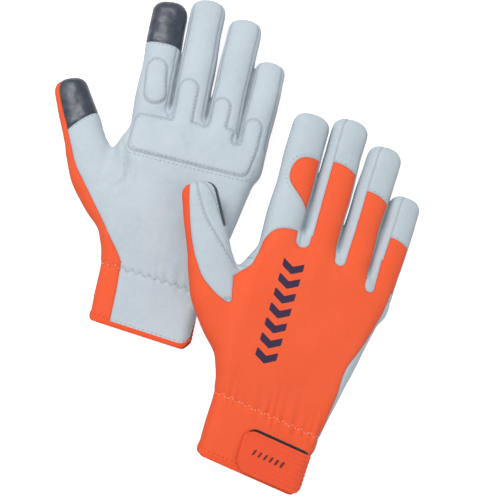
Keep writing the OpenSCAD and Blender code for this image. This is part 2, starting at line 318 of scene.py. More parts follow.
# Orange inset on the back of the index finger
INSET = np.array([(-25, 162.5), (-32, 159), (-35, 152), (-34.5, 145), (-31.5, 140),
                  (-19.5, 131.5), (-12, 125), (-5, 125), (-5, 163)])
# Seam along the back of the thumb: from its root, across
THUMB_SEAM = np.array([(10, 20), (18, 16), (34, 8), (58, -0.5), (75, -2), (82, -2)])
THUMB_SEAM_DEPTH = 3.0     # how far round towards the palm that seam's panel reaches
# Palm pad: ends of its lower edge, upper edge, edge towards the thumb, margin on the other side
PAD_BOTTOM = ((-41.5, 77.0), (50.5, 70.5))
PAD_TOP, PAD_SIDE, PAD_MARGIN = 104.0, -36.0, 5.4
# The pad's tabs up the fingers: finger, across, end along, radius
PAD_TABS = (("middle", -2.2, 38.0, 7.3), ("ring", -3.2, 28.8, 7.0), ("little", -2.2, 20.5, 6.9))
# Oval pad of the index finger: its two centres across and along, radius
INDEX_PAD = ((1.8, 30.5), (-0.4, 49), 7.9)
# Rounded notches in the pad below the gaps between the fingers: across, along
PAD_NOTCHES = ((13.1, 103.0), (37.9, 93.6))
NOTCH_RADIUS = 3.0
TOUCH_START = {"index": 69.0, "thumb": 42.8}   # where the touch patches begin
BINDING = 3.4          # width of the hem's binding
# Printed chevrons: how many, first, step, middle across, slant, half height, half width
CHEVRONS, CHEVRON_START, CHEVRON_STEP = 7, 25.0, 10.0
CHEVRON_MIDDLE, CHEVRON_SLANT, CHEVRON_HIGH, CHEVRON_WIDE = -15.0, 0.55, 2.6, 7.2
STRIP_START, STRIP_WIDTH = 12.0, 6.5   # narrow strip inside the thumb: from the root, width
# Creases of the palm: points across and along the hand, depth, width
CREASES = (
    (((-39.5, 81), (-37.3, 76), (-33.8, 69), (-31.3, 61), (-31.2, 50)), 1.5, 1.7),
    (((-47.5, 48), (-44, 52.5), (-39.5, 59)), 0.55, 2.2),
    (((-41, 46.5), (-37, 49.5), (-31.5, 56)), 0.5, 2.2),
    (((-4, 100), (-1, 96), (4, 90), (12.5, 83)), 0.5, 1.9),
    (((-9, 93), (-1, 85), (3, 79)), 0.35, 2.2),
    (((-24, 62), (-10, 55), (10, 52), (30, 55)), 0.3, 4.0),
    (((-20, 30), (-12, 16), (-8, 2)), 0.35, 3.5))


def segment(u, v, a, b):
    """Place along a flat segment, from 0 to 1, and distance from it."""
    x, y = b[0] - a[0], b[1] - a[1]
    t = np.clip(((u - a[0]) * x + (v - a[1]) * y) / (x * x + y * y), 0, 1)
    return t, np.hypot(u - a[0] - t * x, v - a[1] - t * y)


def polygon_distance(u, v, corners):
    """Distance from a flat outline, more than 0 inside."""
    best, inside = np.full(u.shape, 1e9), np.zeros(u.shape, bool)
    for a, b in zip(corners, np.roll(corners, -1, 0)):
        best = np.minimum(best, segment(u, v, a, b)[1])
        rises = (a[1] > v) != (b[1] > v)
        inside ^= rises & (u < (b[0] - a[0]) * (v - a[1]) / (b[1] - a[1] or 1e-9) + a[0])
    return np.where(inside, best, -best)


def rounded(corners, passes=2):
    """An outline with its corners cut, as many times over as there are passes."""
    for _ in range(passes):
        after = np.roll(corners, -1, 0)
        corners = np.stack([0.8 * corners + 0.2 * after, 0.2 * corners + 0.8 * after],
                           1).reshape(-1, 2)
    return corners


def hem_distance(p):
    """Distance along the glove from the hem, which turns up round the cuff's corners."""
    u, rise = p[:, 0], 0
    for edge, radius in zip((u - PALM[0, 1], PALM[0, 2] - u), HEM_CORNERS):
        past = np.clip(1 - edge / radius, 0, 1)
        rise = rise + radius * (1 - np.sqrt(1 - past ** 2))
    return p[:, 1] + CUFF_LENGTH - HEM_SLOPE * u - rise


def tip_width(name, s):
    d = DIGITS[name]
    t = np.clip((s - d["length"] + d["tip"]) / d["tip"], 0, 1)
    return digit_width(name, s)[0] * np.maximum(1 - t ** TIP, 0.002) ** (1 / TIP)


def at(name, n, s):
    """A point of a digit's frame, in the glove's frame."""
    x0, y0, c, k = digit_turn(name)
    return x0 + c * n - k * s, y0 + k * n + c * s


def finger_back(p, name):
    """More than 0 between the two seams on a finger's back."""
    n, s, w = in_digit(p, name)
    hw = tip_width(name, s)
    near, far = DORSAL_SEAM[name]
    return np.minimum(np.minimum(n + near * hw, far * hw - n), w)


def back_panel(p, name):
    """More than 0 on the panel of a finger's back, from where its seams begin."""
    return np.minimum(finger_back(p, name), in_digit(p, name)[1] - BACK_START[name])


def inset_distance(p):
    return polygon_distance(p[:, 0], p[:, 1], rounded(INSET))


def thumb_back(p):
    """More than 0 on the outer side of the seam along the thumb's back."""
    n, s, w = in_digit(p, "thumb")
    return np.minimum(curve(s, THUMB_SEAM) - n, w + THUMB_SEAM_DEPTH)


def finger_side(p, name):
    """More than 0 on a finger's side strip, on the palm's half of it."""
    n, s, w = in_digit(p, name)
    strip = (n if name == "index" else np.abs(n)) - PALMAR_SEAM * tip_width(name, s)
    return np.minimum(smooth_min(strip, s - SIDE_START[name], 4), -w)


def orange_field(p):
    """More than 0 on the orange fabric."""
    u, v, w = p.T
    hand = (curve(u, BACK_TOP) - v) * 0.8
    for x, y, r in SLOTS:
        hand = np.minimum(hand, np.hypot(u - x, np.minimum(v - y - r, 0)) - r)
    # how far the palm's leather comes round onto the back, on the little finger's side
    wrap = 2.2 + 6.0 * np.exp(-((v - 34) / 17) ** 2) - 1.4 * smooth_step(-v, -12, 8)
    hand = np.minimum(hand, (curve(v, PALM, 2) - u) - wrap)
    panel = -polygon_distance(u, v, rounded(THUMB_PANEL))
    dorsal = np.minimum(hand, panel)
    for name in ("middle", "ring", "little"):
        n, s, _ = in_digit(p, name)
        cap = CAPS[name] - s - 0.011 * (n + 2) ** 2 - 0.10 * n
        reach = np.minimum(s - 6, cap)
        dorsal = np.maximum(dorsal, np.minimum(finger_back(p, name), reach))
    wrapped = -polygon_distance(u, v, rounded(PALM_LEATHER, 1))
    return np.maximum(np.minimum(dorsal, w), np.minimum(wrapped, np.maximum(panel, -w)))


def pad_field(p):
    """More than 0 on the quilted pads of the palm and the fingers."""
    u, v, w = p.T
    (x0, y0), (x1, y1) = PAD_BOTTOM
    bottom = v - (y0 + (u - x0) * (y1 - y0) / (x1 - x0))
    right = curve(v, PALM, 2) - PAD_MARGIN - u
    field = smooth_min(smooth_min(bottom, PAD_TOP - v, 5), u - PAD_SIDE, 6)
    field = smooth_min(field, right, 6)
    for name, n, s, r in PAD_TABS:
        field = np.maximum(field, r - segment(u, v, at(name, n, 8), at(name, n, s))[1])
    for x, y in PAD_NOTCHES:
        notch = np.hypot(u - x, np.minimum(v - y - NOTCH_RADIUS, 0)) - NOTCH_RADIUS
        field = smooth_min(field, notch, 2)
    start, end, r = INDEX_PAD
    oval = r - segment(u, v, at("index", *start), at("index", *end))[1]
    return np.minimum(np.maximum(field, oval), -w)


def touch_field(p):
    """More than 0 on the touch-screen patches."""
    n, s, w = in_digit(p, "index")
    index = np.minimum(np.minimum(s - TOUCH_START["index"] + 0.06 * n, -1.5 - w), 14 - np.abs(n))
    n, s, w = in_digit(p, "thumb")
    thumb = np.minimum(s - TOUCH_START["thumb"] - 0.34 * n, 2.2 + 0.35 * n - w)
    thumb = np.minimum(thumb, 15 - np.abs(n))
    return np.maximum(index, thumb)


def motif_field(p):
    """More than 0 on the printed chevrons."""
    u, v, w = p.T
    best, across = np.full(len(p), -9.0), np.abs(u - CHEVRON_MIDDLE)
    for k in range(CHEVRONS):
        line = v - (CHEVRON_START + CHEVRON_STEP * k) - CHEVRON_SLANT * across
        best = np.maximum(best, np.minimum(CHEVRON_HIGH - np.abs(line), CHEVRON_WIDE - across))
    return np.minimum(best, w)


def thumb_strip(p):
    """More than 0 on the narrow strip along the thumb's inner side."""
    n, s, w = in_digit(p, "thumb")
    taper = np.clip((s - STRIP_START) / 22, 0, 1) * np.clip((80 - s) / 16, 0, 1) ** 0.7
    width = STRIP_WIDTH * taper
    along = n - curve(s, THUMB_SEAM) - 0.5 * w
    return np.minimum(np.minimum(along + 0.5 * w, width - along),
                      np.minimum(w + 1.5, s - STRIP_START))


def own_part(p, name, fields, moving):
    """More than 0 on a digit's own part: the part that bends, or its side strip."""
    d = DIGITS[name]
    others = np.min([f for k, f in fields.items() if k != name], axis=0)
    if moving:
        start = THUMB_BLEND[0] if name == "thumb" else d["hinge"] - BLEND_HALF
        part = in_digit(p, name)[1] - start
    else:
        part = finger_side(p, name) if name != "thumb" else np.full(len(p), -9.0)
    return np.minimum(part, (others - fields[name]) * 2)


def build_panels():
    """The glove's triangles, cut along every seam, with a panel and a body for each."""
    points, tris = glove_surface()
    points, tris = cut(points, tris, hem_distance(points))
    tris = tris[hem_distance(points[tris].mean(1)) > 0]
    steps = [orange_field, pad_field, touch_field, motif_field,
             lambda p: hem_distance(p) - BINDING,
             lambda p: np.minimum(inset_distance(p), finger_back(p, "index"))]
    steps += [lambda p, k=k: back_panel(p, k) for k in FINGERS]
    steps += [thumb_back, thumb_strip, lambda p: np.where(np.abs(p[:, 2]) < 3, p[:, 2], 9.0)]
    for step in steps:
        points, tris = cut(points, tris, step(points))
    for name in DIGITS:
        for moving in (True, False):
            fields = {k: digit_distance(points, k) for k in DIGITS}
            points, tris = cut(points, tris, own_part(points, name, fields, moving))
    c = points[tris].mean(1)
    u, _, w = c.T
    fields = {k: digit_distance(c, k) for k in DIGITS}
    body = np.full(len(c), "hand", dtype="U8")
    panel = np.full(len(c), "front", dtype="U8")
    near = np.array(list(DIGITS))[np.argmin(list(fields.values()), 0)]
    for name in FINGERS:
        mine = near == name
        s = in_digit(c, name)[1]
        panel[mine & (w > 0) & (s > 0) & (u > -38)] = "side"
        panel[mine & (back_panel(c, name) > 0)] = "back" if name == "index" else "cap"
        panel[own_part(c, name, fields, False) > 0] = "side"
    panel[(thumb_strip(c) > 0) & (near == "thumb")] = "side"
    panel[(thumb_back(c) > 0) & (u < -40) & (in_digit(c, "thumb")[1] > 0)] = "back"
    for name in DIGITS:
        body[own_part(c, name, fields, True) > 0] = name
    panel[pad_field(c) > 0] = "pad"
    panel[touch_field(c) > 0] = "touch"
    inset = np.minimum(inset_distance(c), finger_back(c, "index")) > 0
    panel[inset & (near == "index")] = "inset"
    panel[orange_field(c) > 0] = "orange"
    panel[motif_field(c) > 0] = "print"
    panel[hem_distance(c) < BINDING] = "binding"
    return points, tris, panel, body


# ---- relief ----
PAD_RISE, BINDING_RISE = 0.9, 0.75     # how far the pads and the hem's binding stand proud
GATHER_RISE, GATHER_STEP = 0.85, 6.6   # folds of the gathered wrist: height, spacing
FAR = 20.0             # distance that stands for no seam or gap near


def vertex_normals(points, tris):
    a, b, c = (points[tris[:, i]] for i in range(3))
    face = np.cross(b - a, c - a)
    total = np.zeros_like(points)
    for i in range(3):
        np.add.at(total, tris[:, i], face)
    return unit(total)


def seams(tris, panel):
    """The edges where two panels are sewn together."""
    edges, owner = np.sort(edges_of(tris), 1), np.tile(panel, 3)
    order = np.lexsort((edges[:, 1], edges[:, 0]))
    edges, owner = edges[order], owner[order]
    same = (edges[1:] == edges[:-1]).all(1)
    ends, a, b = edges[1:][same], owner[1:][same], owner[:-1][same]
    sewn = (a != b) & ~np.isin(a, ("binding", "print")) & ~np.isin(b, ("binding", "print"))
    return ends[sewn]


def tree_of(points):
    """A tree that finds the nearest of the points."""
    tree = kdtree.KDTree(len(points))
    for i, point in enumerate(points):
        tree.insert(point, i)
    tree.balance()
    return tree


def finger_gap(p):
    """Distance from the second nearest finger."""
    return np.sort([digit_distance(p, name) for name in FINGERS], 0)[1]


def elastic_line(u):
    """The gathered line across the wrist."""
    return -3.5 - 9.0 * (u + 39) / 75


def wrist_zigzag(p):
    """Distance from the zigzag of stitches along the gathered line."""
    x = p[:, 0] / 6.2
    return (p[:, 1] - elastic_line(p[:, 0])
            - 1.5 * (2 * np.abs(2 * (x - np.floor(x + 0.5))) - 1)) * 0.75


def waves(p, seed, count, lengths, height):
    """Soft folds: a seeded sum of sine waves in many directions."""
    rng = np.random.default_rng(seed)
    total = np.zeros(len(p))
    for _ in range(count):
        way = rng.normal(size=3)
        way /= np.linalg.norm(way)
        k = 2 * math.pi / rng.uniform(*lengths)
        total += np.sin(k * (p @ way) + rng.uniform(0, 2 * math.pi))
    return height * total / math.sqrt(count)


def crease_distance(p, spine):
    """Distance from a crease of the palm, and the crease's strength there, from 0 to 1."""
    u, v, w = p.T
    best, along = np.full(len(p), 1e9), np.zeros(len(p))
    for i, (a, b) in enumerate(zip(spine, spine[1:])):
        t, far = segment(u, v, a, b)
        along = np.where(far < best, (i + t) / (len(spine) - 1), along)
        best = np.minimum(best, far)
    return best, np.sin(math.pi * np.clip(along, 0.02, 0.98)) ** 0.6 * smooth_step(-w, 0, 5)


def soil_distance(p, seam):
    """Distance from the nearest seam, or something like it at a crease or the wrist's zigzag,
    where the painted shade falls.
    """
    out = np.minimum(seam, np.where(p[:, 2] < 0, np.abs(wrist_zigzag(p)) + 0.1, FAR))
    for spine, depth, _ in CREASES:
        far, strength = crease_distance(p, spine)
        out = np.minimum(out, 0.1 + 0.6 * (1.5 - depth) + far / 1.5 + 3 * (1 - strength))
    return out


def relief(p, seam):
    """How far each point stands proud of the plain glove."""
    u, v, w = p.T
    out = -0.5 * np.exp(-(seam / 0.9) ** 2)
    for spine, depth, width in CREASES:
        far, strength = crease_distance(p, spine)
        roll = 0.4 * np.exp(-((far - 2.2 * width) / width) ** 2)
        out -= depth * strength * (np.exp(-(far / width) ** 2) - roll)
    out += PAD_RISE * smooth_step(pad_field(p), 0, 2.5) * smooth_step(-w, 2, 5)
    hem = hem_distance(p)
    out += BINDING_RISE * np.sqrt(np.clip(1 - (2 * hem / BINDING - 1) ** 2, 0, 1))
    above = v - elastic_line(u)
    reach = np.where(above > 0, 11.0, 5.0) * (1 + 0.45 * np.sin(0.41 * u + 1.3))
    near = np.exp(-(above / reach) ** 2) * (0.75 + 0.25 * np.sin(0.9 + 0.11 * u))
    near *= (1 - 0.5 * smooth_step(-w, 0, 4)) * (0.7 + 0.3 * smooth_step(u, -20, 20))
    fold = np.cos(2 * math.pi * (u + 0.10 * above + 1.8 * np.sin(0.23 * u)) / GATHER_STEP)
    out += near * GATHER_RISE * (fold - 0.2)
    out -= 0.55 * np.exp(-(wrist_zigzag(p) / 1.1) ** 2)
    calm = smooth_step(hem, 0, 12)
    return out + (waves(p, 5, 16, (22, 50), 0.28) + waves(p, 8, 18, (9, 17), 0.07)) * calm


# ---- pieces ----
def rotation(axis, degrees):
    c, s = math.cos(math.radians(degrees)), math.sin(math.radians(degrees))
    if axis == "z":
        return np.array([[c, -s, 0], [s, c, 0], [0, 0, 1]])
    return np.array([[c, 0, s], [0, 1, 0], [-s, 0, c]])


# Where each glove lies: turn matrix, place of the middle of its wrist
PLACES = {
    "left": (rotation("z", 2.7) @ np.diag([1.0, 1.0, -1.0]), np.array([-32.5, -37.6, 11.0])),
    "right": (rotation("z", -4) @ rotation("y", 12), np.array([63.9, -108.2, 22.5])),
}


def placed(side, local):
    """Points of one glove's own frame, in metres in the row frame."""
    turn, place = PLACES[side]
    p = np.asarray(local, float) @ turn.T + place
    return np.maximum(p, [-1e9, -1e9, 0.05]) * MM


def make(name, side, points, faces, rest, material, normals=None, seam=None, gap=None):
    """A piece from points in the glove's frame, with its rest places for the materials, and its
    distances from a seam and from the next finger."""
    mesh = bpy.data.meshes.new(name)
    mesh.from_pydata(placed(side, points).tolist(), [], faces)
    mesh.materials.append(material)
    store = mesh.attributes.new("rest", "FLOAT_VECTOR", "POINT")
    store.data.foreach_set("vector", np.asarray(rest, np.float32).ravel())
    for key, values in (("seam", seam), ("gap", gap)):
        store = mesh.attributes.new(key, "FLOAT", "POINT")
        values = np.full(len(points), FAR) if values is None else values
        store.data.foreach_set("value", np.asarray(values, np.float32))
    mesh.shade_smooth()
    if normals is not None:
        mesh.normals_split_custom_set(normals.tolist())
    obj = bpy.data.objects.new(name, mesh)
    bpy.context.scene.collection.objects.link(obj)
    return obj


def turned(faces, flip):
    """The faces, wound the other way if asked, because one glove is a mirror image."""
    return [face[::-1] for face in faces] if flip else faces


def shell(name, side, wall, tris, material):
    """A piece of the glove's wall: its outer and inner faces, and the wall's edge between."""
    used, index = np.unique(tris, return_inverse=True)
    points, normals, inner, *kept = (x[used] for x in wall)
    t = index.reshape(-1, 3)
    if side == "left":
        t = t[:, ::-1]
    n = len(used)
    edges = edges_of(t)
    alone = ~np.isin(edges[:, 0] * n + edges[:, 1], edges[:, 1] * n + edges[:, 0])
    a, b = edges[alone].T
    faces = t.tolist() + (t[:, ::-1] + n).tolist() + np.stack([b, a, a + n, b + n], 1).tolist()
    turn = PLACES[side][0]
    p, vn = np.concatenate([points, inner]), normals @ turn.T
    rim = unit(np.cross(p[a] - p[b], p[a + n] - p[a])) @ turn.T
    loops = np.concatenate([vn[t].reshape(-1, 3), -vn[t[:, ::-1]].reshape(-1, 3),
                            np.repeat(rim, 4, 0)])
    rest, seam, gap = (np.concatenate([x, x]) for x in kept)
    return make(name, side, p, faces, rest, material, loops, seam, gap)


def digit_point(side, name, s):
    """A point on a digit's middle line, in the row frame."""
    n = THUMB_PIVOT if name == "thumb" else 0.0
    return placed(side, [[*at(name, n, s), 0.0]])[0]


def attach(obj, side, body):
    """Ties a piece of the hand to the hand's body; a digit's piece is baked where it lies and does
    not bend.
    """
    if body == "hand":
        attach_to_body(obj, side + "_hand")
        return
    if body == "thumb":
        start, end = THUMB_BLEND
    else:
        hinge = DIGITS[body]["hinge"]
        start, end = hinge - BLEND_HALF, hinge + BLEND_HALF
    digit_point(side, body, start)
    digit_point(side, body, end)
    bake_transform(obj)


# The CAD nodes that the panels of the hand and of a digit stand for
HAND_NODES = {"front": "palm_panel", "orange": "back_panel", "pad": "palm_pad",
              "side": "web_gussets", "binding": "cuff_binding"}
FINGER_NODES = {"front": "front", "back": "back", "inset": "inset", "side": "sides",
                "cap": "cap", "touch": "touch_patch", "orange": "back"}
THUMB_NODES = {"front": "front", "back": "back", "touch": "touch_patch", "orange": "edge"}


def node_of(side, body, panel):
    """The CAD node that a panel of a body stands for, or None for an added one."""
    if body == "hand":
        return f"{side}_{HAND_NODES[panel]}" if panel in HAND_NODES else None
    nodes = THUMB_NODES if body == "thumb" else FINGER_NODES
    return f"{side}_{body}_{nodes[panel]}" if panel in nodes else None


# ---- materials ----
class Shader:
    """A node material that reads the glove's rest places, so that its pattern stays in place."""

    def __init__(self, name, color, roughness, specular, **sockets):
        self.material = bpy.data.materials.new(name)
        self.material.use_nodes = True
        self.tree = self.material.node_tree
        self.inputs = self.tree.nodes["Principled BSDF"].inputs
        self.color, self.normal = (*color, 1), None
        sockets.update(Base_Color=self.color, Roughness=roughness, Specular_IOR_Level=specular)
        for key, value in sockets.items():
            self.put(self.inputs[key.replace("_", " ")], value)
        self.rest, self.seam, self.gap = (
            self.add("Attribute", output, {}, attribute_name=key)
            for key, output in (("rest", "Vector"), ("seam", "Fac"), ("gap", "Fac")))

    def put(self, socket, value):
        """Sets a socket to a value, or links it from another node's output."""
        if hasattr(value, "is_linked"):
            self.tree.links.new(value, socket)
        elif value is not None:
            socket.default_value = value

    def add(self, kind, output, inputs, **settings):
        """The output of a new node."""
        node = self.tree.nodes.new("ShaderNode" + kind)
        for key, value in settings.items():
            setattr(node, key, value)
        for key, value in inputs.items():
            self.put(node.inputs[key], value)
        return node.outputs[output]

    def noise(self, size, detail=2.0, stretch=None):
        """Noise with features of a size in millimetres."""
        place = self.rest
        if stretch:
            place = self.add("Mapping", "Vector", {"Vector": place, "Scale": stretch})
        return self.add("TexNoise", "Fac", {"Vector": place, "Scale": 1 / size, "Detail": detail})

    def cells(self, size):
        """Cells of a size in millimetres."""
        return self.add("TexVoronoi", "Distance", {"Vector": self.rest, "Scale": 1 / size})

    def bands(self, size, direction, bend=0.0):
        """Ridges that repeat every so many millimetres."""
        return self.add("TexWave", "Fac", {"Vector": self.rest, "Scale": math.pi / (10 * size),
                                           "Distortion": bend, "Detail Scale": 4.0},
                        bands_direction=direction)

    def span(self, value, low, high, to_low, to_high):
        return self.add("MapRange", "Result", {"Value": value, "From Min": low, "From Max": high,
                                               "To Min": to_low, "To Max": to_high})

    def math(self, operation, a, b=0.0):
        return self.add("Math", 0, {0: a, 1: b}, operation=operation)

    def tint(self, factor, color):
        """Mixes a colour in, by a factor from 0 to 1."""
        self.color = self.add("Mix", 2, {0: factor, 6: self.color, 7: (*color, 1)},
                              data_type="RGBA")

    def mottle(self, color, most, size, detail=2.0, low=0.35, high=0.65):
        """Mixes a colour in by at most a factor, in patches of a size in millimetres."""
        self.tint(self.span(self.noise(size, detail), low, high, 0.0, most), color)

    def bump(self, height, distance, strength):
        """Relief of a height in millimetres."""
        self.normal = self.add("Bump", "Normal", {"Height": height, "Distance": distance * MM,
                                                  "Strength": strength, "Normal": self.normal})

    def rough(self, value, low, high):
        self.put(self.inputs["Roughness"], self.span(value, 0.3, 0.7, low, high))

    def height(self):
        """Height above or below the middle plane of the glove, in millimetres."""
        return self.math("ABSOLUTE", self.add("SeparateXYZ", "Z", {"Vector": self.rest}))

    def done(self):
        self.put(self.inputs["Base Color"], self.color)
        self.put(self.inputs["Normal"], self.normal)
        return self.material


ORANGE_SHEEN = (1.0, 0.45, 0.3, 1)


def soiled(shader, color):
    """Painted shade: darker in the seams, the creases and the wrist's zigzag, and deep between the
    fingers where they shade each other.
    """
    shader.tint(shader.span(shader.seam, 0.0, 1.1, 0.5, 0.0), color)
    shader.tint(shader.span(shader.gap, 0.6, 3.2, 0.7, 0.0), tuple(0.45 * x for x in color))


def knit(shader):
    """The loops of the knitted fabric."""
    return shader.math("MULTIPLY", shader.bands(0.9, "X", 0.3), shader.bands(0.75, "Y", 0.6))


def leather():
    m = Shader("grey_leather", (0.495, 0.568, 0.622), 0.62, 0.35)
    m.mottle((0.43, 0.50, 0.56), 0.35, 28)
    m.mottle((0.57, 0.64, 0.68), 0.30, 3.0, 4, 0.45, 0.75)
    # painted shade in the seams and creases and between the fingers
    soiled(m, (0.22, 0.26, 0.31))
    m.bump(m.noise(14, 3, (1.0, 0.6, 1.0)), 1.1, 0.55)
    m.bump(m.noise(4.5, 3), 0.45, 0.5)
    m.bump(m.cells(0.9), 0.12, 0.55)
    m.rough(m.noise(6), 0.52, 0.72)
    return m.done()


def fabric():
    m = Shader("orange_fabric", (0.896, 0.122, 0.042), 0.78, 0.2, Sheen_Weight=0.25,
               Sheen_Roughness=0.45, Sheen_Tint=ORANGE_SHEEN)
    m.mottle((0.86, 0.100, 0.030), 0.35, 24)
    m.mottle((0.95, 0.17, 0.075), 0.30, 1.2, 3, 0.45, 0.8)
    # painted shade: the orange turns deeper red towards the glove's sides, where the surface turns
    # away from the light
    m.tint(m.span(m.height(), 1.0, 9.0, 0.65, 0.0), (0.87, 0.078, 0.022))
    # painted shade in the seams and creases and between the fingers
    soiled(m, (0.42, 0.040, 0.012))
    m.bump(m.noise(11, 2), 0.7, 0.35)
    m.bump(knit(m), 0.16, 0.6)
    return m.done()


def touch_leather():
    m = Shader("touch_leather", (0.032, 0.043, 0.063), 0.40, 0.5)
    m.mottle((0.062, 0.080, 0.108), 0.6, 7, 2, 0.4, 0.7)
    # painted shade in the seams and creases and between the fingers
    soiled(m, (0.02, 0.022, 0.028))
    m.bump(m.noise(10, 1), 2.2, 0.7)
    m.bump(m.noise(3.5, 1), 0.2, 0.5)
    m.bump(m.cells(0.8), 0.05, 0.4)
    m.rough(m.noise(5), 0.33, 0.45)
    return m.done()


def binding():
    m = Shader("orange_binding", (0.87, 0.105, 0.032), 0.8, 0.2, Sheen_Weight=0.3,
               Sheen_Tint=(1.0, 0.5, 0.35, 1))
    ribs = m.bands(1.5, "X", 0.4)
    m.tint(m.span(ribs, 0.2, 0.9, 0.25, 0.0), (0.70, 0.070, 0.020))
    m.bump(ribs, 0.25, 0.6)
    m.bump(m.noise(0.6, 2), 0.12, 0.6)
    return m.done()


def print_ink(name, color):
    m = Shader(name, color, 0.6, 0.3)
    m.mottle(tuple(2 * x for x in color), 0.4, 1.0, 3, 0.5, 0.9)
    m.bump(knit(m), 0.10, 0.5)
    return m.done()


def strap_webbing():
    m = Shader("strap_webbing", (0.92, 0.104, 0.036), 0.75, 0.25, Sheen_Weight=0.25,
               Sheen_Tint=ORANGE_SHEEN)
    m.mottle((0.80, 0.090, 0.028), 0.3, 9)
    weave = m.math("MULTIPLY", m.bands(1.1, "X", 0.2), m.bands(0.8, "Y", 0.2))
    m.tint(m.span(weave, 0.0, 0.5, 0.20, 0.0), (0.72, 0.060, 0.018))
    m.bump(weave, 0.22, 0.7)
    return m.done()


def fuzz(name, color, size, height):
    m = Shader(name, color, 0.9, 0.1, Sheen_Weight=0.4)
    m.mottle(tuple(2.2 * x for x in color), 0.6, size, 3, 0.4, 0.7)
    m.bump(m.cells(size), height, 0.9)
    return m.done()


def elastic():
    m = Shader("wrist_elastic", (0.62, 0.62, 0.60), 0.8, 0.2)
    cords = m.bands(1.2, "Y")
    m.tint(m.span(cords, 0.2, 0.8, 0.4, 0.0), (0.35, 0.35, 0.35))
    m.bump(cords, 0.3, 0.8)
    return m.done()


def thread(name, color):
    m = Shader(name, color, 0.6, 0.3)
    m.mottle(tuple(0.7 * x for x in color), 0.4, 0.8, 2, 0.4, 0.7)
    m.bump(m.noise(0.3, 2), 0.1, 0.6)
    return m.done()


# Each kind of panel, and each thread: material, slot
LEATHER, FABRIC = (leather(), "palm_leather"), (fabric(), "back_fabric")
LOOKS = {"front": LEATHER, "side": LEATHER, "back": LEATHER, "cap": LEATHER, "pad": LEATHER,
         "inset": FABRIC, "orange": FABRIC, "touch": (touch_leather(), "touch_leather"),
         "binding": (binding(), "binding"),
         "print": (print_ink("dark_print", (0.036, 0.019, 0.056)), "back_fabric")}
MARK_INK = print_ink("strap_print", (0.15, 0.022, 0.022))
WEBBING = strap_webbing()
LOOP = fuzz("loop_pile", (0.018, 0.018, 0.022), 0.7, 0.4)
HOOK = fuzz("hook_pile", (0.03, 0.03, 0.035), 0.9, 0.5)
ELASTIC = elastic()
THREADS = {"grey": (thread("grey_thread", (0.50, 0.57, 0.63)), "palm_leather"),
           "warm": (thread("orange_thread", (0.80, 0.10, 0.035)), "back_fabric"),
           "pale": (thread("pale_thread", (0.92, 0.36, 0.22)), "back_fabric")}


# ---- strap and its patches ----
STRAP_START, STRAP_END = -14.0, 31.0     # free end and sewn end, measured along the cuff
STRAP_MIDDLE, STRAP_HALF = -33.5, 13.0   # place along the glove, half width
STRAP_BLEND = (27.0, 19.0)               # where the strap bends
MARKS, MARK_START, MARK_STEP = 6, -5.5, 3.9   # slanted marks printed on the strap
# Layers over the fabric: height of the underside, thickness
LOOP_LAYER, HOOK_LAYER, TAB_LAYER, MARK_LAYER = (0.05, 0.85), (1.2, 0.75), (2.0, 1.4), (3.25, 0.35)


def over_cuff(s, v, height):
    """A point at a distance along the cuff's back, at a height over the fabric."""
    v = v + HEM_SLOPE * s
    x1, b = curve(v, PALM, 2), curve(v, PALM, 3)
    turn = np.maximum(s - (x1 - b), 0) / b
    flat = np.minimum(s, x1 - b)
    return np.stack([flat + (b + height) * np.sin(turn), v, (b + height) * np.cos(turn)], -1)


def strip(s0, s1, half, base, thick, corner, low=0.0, high=0.0, middle=STRAP_MIDDLE, lean=0.0,
          ribs=0.0, cells=(56, 24)):
    """A closed strip over the cuff, with round corners: both at its free end, and the lower and
    the upper one at its other end."""
    cols, rows = cells
    t = np.linspace(-1, 1, rows + 1)
    t = np.sign(t) * (1 - (1 - np.abs(t)) ** 1.35)
    y = t * half

    def cut_in(radius):
        past = np.maximum(np.abs(y) - half + radius, 0)
        return radius - np.sqrt(np.maximum(radius ** 2 - past ** 2, 0))

    first = s0 + cut_in(corner) + lean * y
    last = s1 - np.where(y < 0, cut_in(low), cut_in(high)) + lean * y
    k = np.linspace(0, 1, cols + 1)
    k = 0.5 - 0.5 * np.cos(math.pi * k)
    s = first[:, None] + (last - first)[:, None] * k[None, :]
    v = np.repeat((middle + y)[:, None], cols + 1, 1)
    edge = np.minimum(s - first[:, None], half - np.abs(y)[:, None])
    edge = np.minimum(edge, last[:, None] - s)
    rise = np.sqrt(1 - (1 - np.clip(edge / (0.55 * thick), 0, 1)) ** 2)
    groove = 0.18 * np.exp(-((edge - 2.2) / 0.45) ** 2) if thick > 1 else 0
    rib = ribs * (0.5 - 0.5 * np.cos(2 * math.pi * y / 2.9))[:, None] * smooth_step(s, 4, 22)
    top = base + thick * (0.35 + 0.65 * rise) - groove - rib
    outer = over_cuff(s, v, top).reshape(-1, 3)
    inner = over_cuff(s, v, base).reshape(-1, 3)
    n = len(outer)
    number = np.arange(n).reshape(rows + 1, cols + 1)
    a, b = number[:-1, :-1].ravel(), number[:-1, 1:].ravel()
    c, d = number[1:, 1:].ravel(), number[1:, :-1].ravel()
    faces = np.stack([a, b, c, d], 1).tolist() + (np.stack([d, c, b, a], 1) + n).tolist()
    border = np.concatenate([number[0, :-1], number[:-1, -1], number[-1, :0:-1],
                             number[:0:-1, 0]])
    after = np.roll(border, -1)
    faces += np.stack([after, border, border + n, after + n], 1).tolist()
    return np.concatenate([outer, inner]), faces


def tube(number):
    """Faces between neighbouring rings of point numbers."""
    a, b = number[:-1], number[1:]
    return np.stack([a, np.roll(a, -1, 1), np.roll(b, -1, 1), b], 2).reshape(-1, 4).tolist()


def strip_piece(name, side, strips, material):
    """One piece made of strips over the cuff."""
    points, faces = np.zeros((0, 3)), []
    for p, f in strips:
        faces += [[i + len(points) for i in face] for face in f]
        points = np.concatenate([points, p])
    return make(side + name, side, points, turned(faces, side == "left"), points, material)


